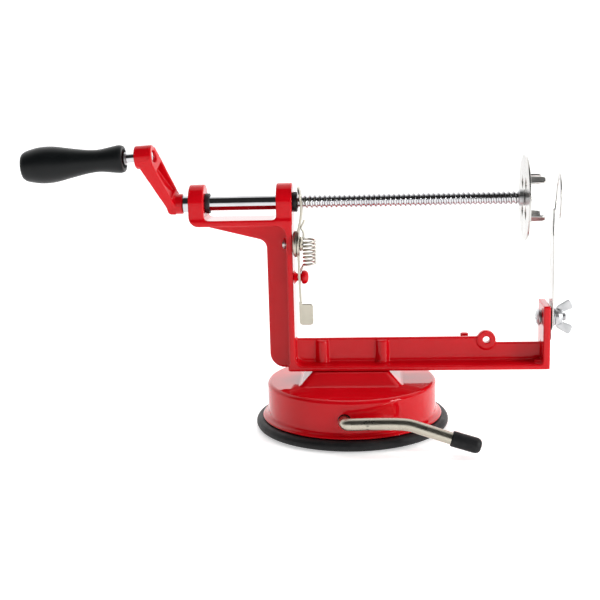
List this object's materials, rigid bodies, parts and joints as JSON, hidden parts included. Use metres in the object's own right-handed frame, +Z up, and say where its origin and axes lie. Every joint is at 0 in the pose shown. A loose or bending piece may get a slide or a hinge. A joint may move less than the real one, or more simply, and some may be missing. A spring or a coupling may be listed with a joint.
{
  "type": "hand-cranked spiral slicer and corer",
  "caption": "Red cast frame on a lever suction base; a crank turns a long feed screw that pushes a pronged fork towards a coring and slicing blade.",
  "frame": {"origin": "centre of the suction pad's underside, on the table", "axes": "+X along the feed screw from the crank to the blade, -Y towards the operator, +Z up"},
  "size_m": [0.3331, 0.1314, 0.179],
  "materials": {
    "red_paint": "gloss enamel on a die casting",
    "grip_plastic": "semi-gloss moulded plastic",
    "bush_plastic": "moulded plastic",
    "rubber": "matt moulded rubber",
    "chrome": "bright plated steel",
    "polished_steel": "polished stainless sheet",
    "nickel": "satin nickel plate",
    "zinc": "bright zinc plate"
  },
  "bodies": {
    "frame": {"frame_casting": "red_paint", "left_bush": "bush_plastic", "right_bush": "bush_plastic", "release_spring": "chrome", "lever_pivot_screw": "nickel", "lever_spacer": "nickel", "lever_pivot_nut": "zinc", "blade_shim": "rubber", "clamp_bolt": "zinc", "bolt_head_washer": "zinc", "blade_washer": "zinc", "base_dome": "red_paint", "base_screw_left": "zinc", "base_screw_right": "zinc", "suction_pad": "rubber", "lever_grommet": "bush_plastic"},
    "feed_carriage": {"thrust_collar": "chrome"},
    "screw_and_crank": {"feed_screw": "chrome", "fork_disc": "polished_steel", "fork_nut": "zinc", "crank_arm": "red_paint", "crank_set_screw": "zinc", "handle_spindle": "chrome", "grip_washer": "zinc"},
    "handle_grip": {"grip": "grip_plastic"},
    "thumb_lever": {"release_lever": "nickel"},
    "clamp_lever": {"suction_lever": "nickel", "lever_cap": "rubber", "lever_clip": "zinc"},
    "lift_stud": {"pull_stud": "zinc"},
    "blade": {"slicing_blade": "polished_steel"},
    "clamp_nut": {"wing_nut": "zinc"}
  },
  "joints": [
    {"name": "shaft_feed", "type": "slide", "parent": "frame", "child": "feed_carriage", "axis": [1, 0, 0], "range_m": [-0.1231, 0]},
    {"name": "crank_turn", "type": "hinge", "parent": "feed_carriage", "child": "screw_and_crank", "pos_m": [0, 0, 0.141], "axis": [1, 0, 0], "range_deg": [-14760, 0]},
    {"name": "grip_spin", "type": "hinge", "parent": "screw_and_crank", "child": "handle_grip", "pos_m": [-0.1209, -0.0162, 0.17146], "axis": [-0.9977, 0.0319, -0.0601], "continuous": true},
    {"name": "lever_press", "type": "hinge", "parent": "frame", "child": "thumb_lever", "pos_m": [-0.0305, -0.0085, 0.1162], "axis": [1, 0, 0], "range_deg": [0, 7], "stiffness_Nm_per_rad": 0.05, "springref_deg": -34.38, "deforming": ["release_spring"]},
    {"name": "suction_turn", "type": "hinge", "parent": "frame", "child": "clamp_lever", "pos_m": [-0.0032, -0.05, 0.0174], "axis": [0, 1, 0], "range_deg": [-150, 0]},
    {"name": "stud_lift", "type": "slide", "parent": "frame", "child": "lift_stud", "axis": [0, 0, 1], "range_m": [0, 0.0039]},
    {"name": "blade_swing", "type": "hinge", "parent": "frame", "child": "blade", "pos_m": [0.1235, 0, 0.0669], "axis": [1, 0, 0], "range_deg": [-90, 90]},
    {"name": "wing_nut_turn", "type": "hinge", "parent": "frame", "child": "clamp_nut", "pos_m": [0.128, 0, 0.0669], "axis": [1, 0, 0], "continuous": true}
  ],
  "couplings": [
    {"joint": "shaft_feed", "follows": "crank_turn", "m_per_rad": 0.00047746},
    {"joint": "stud_lift", "follows": "suction_turn", "m_per_rad": -0.0014744}
  ]
}
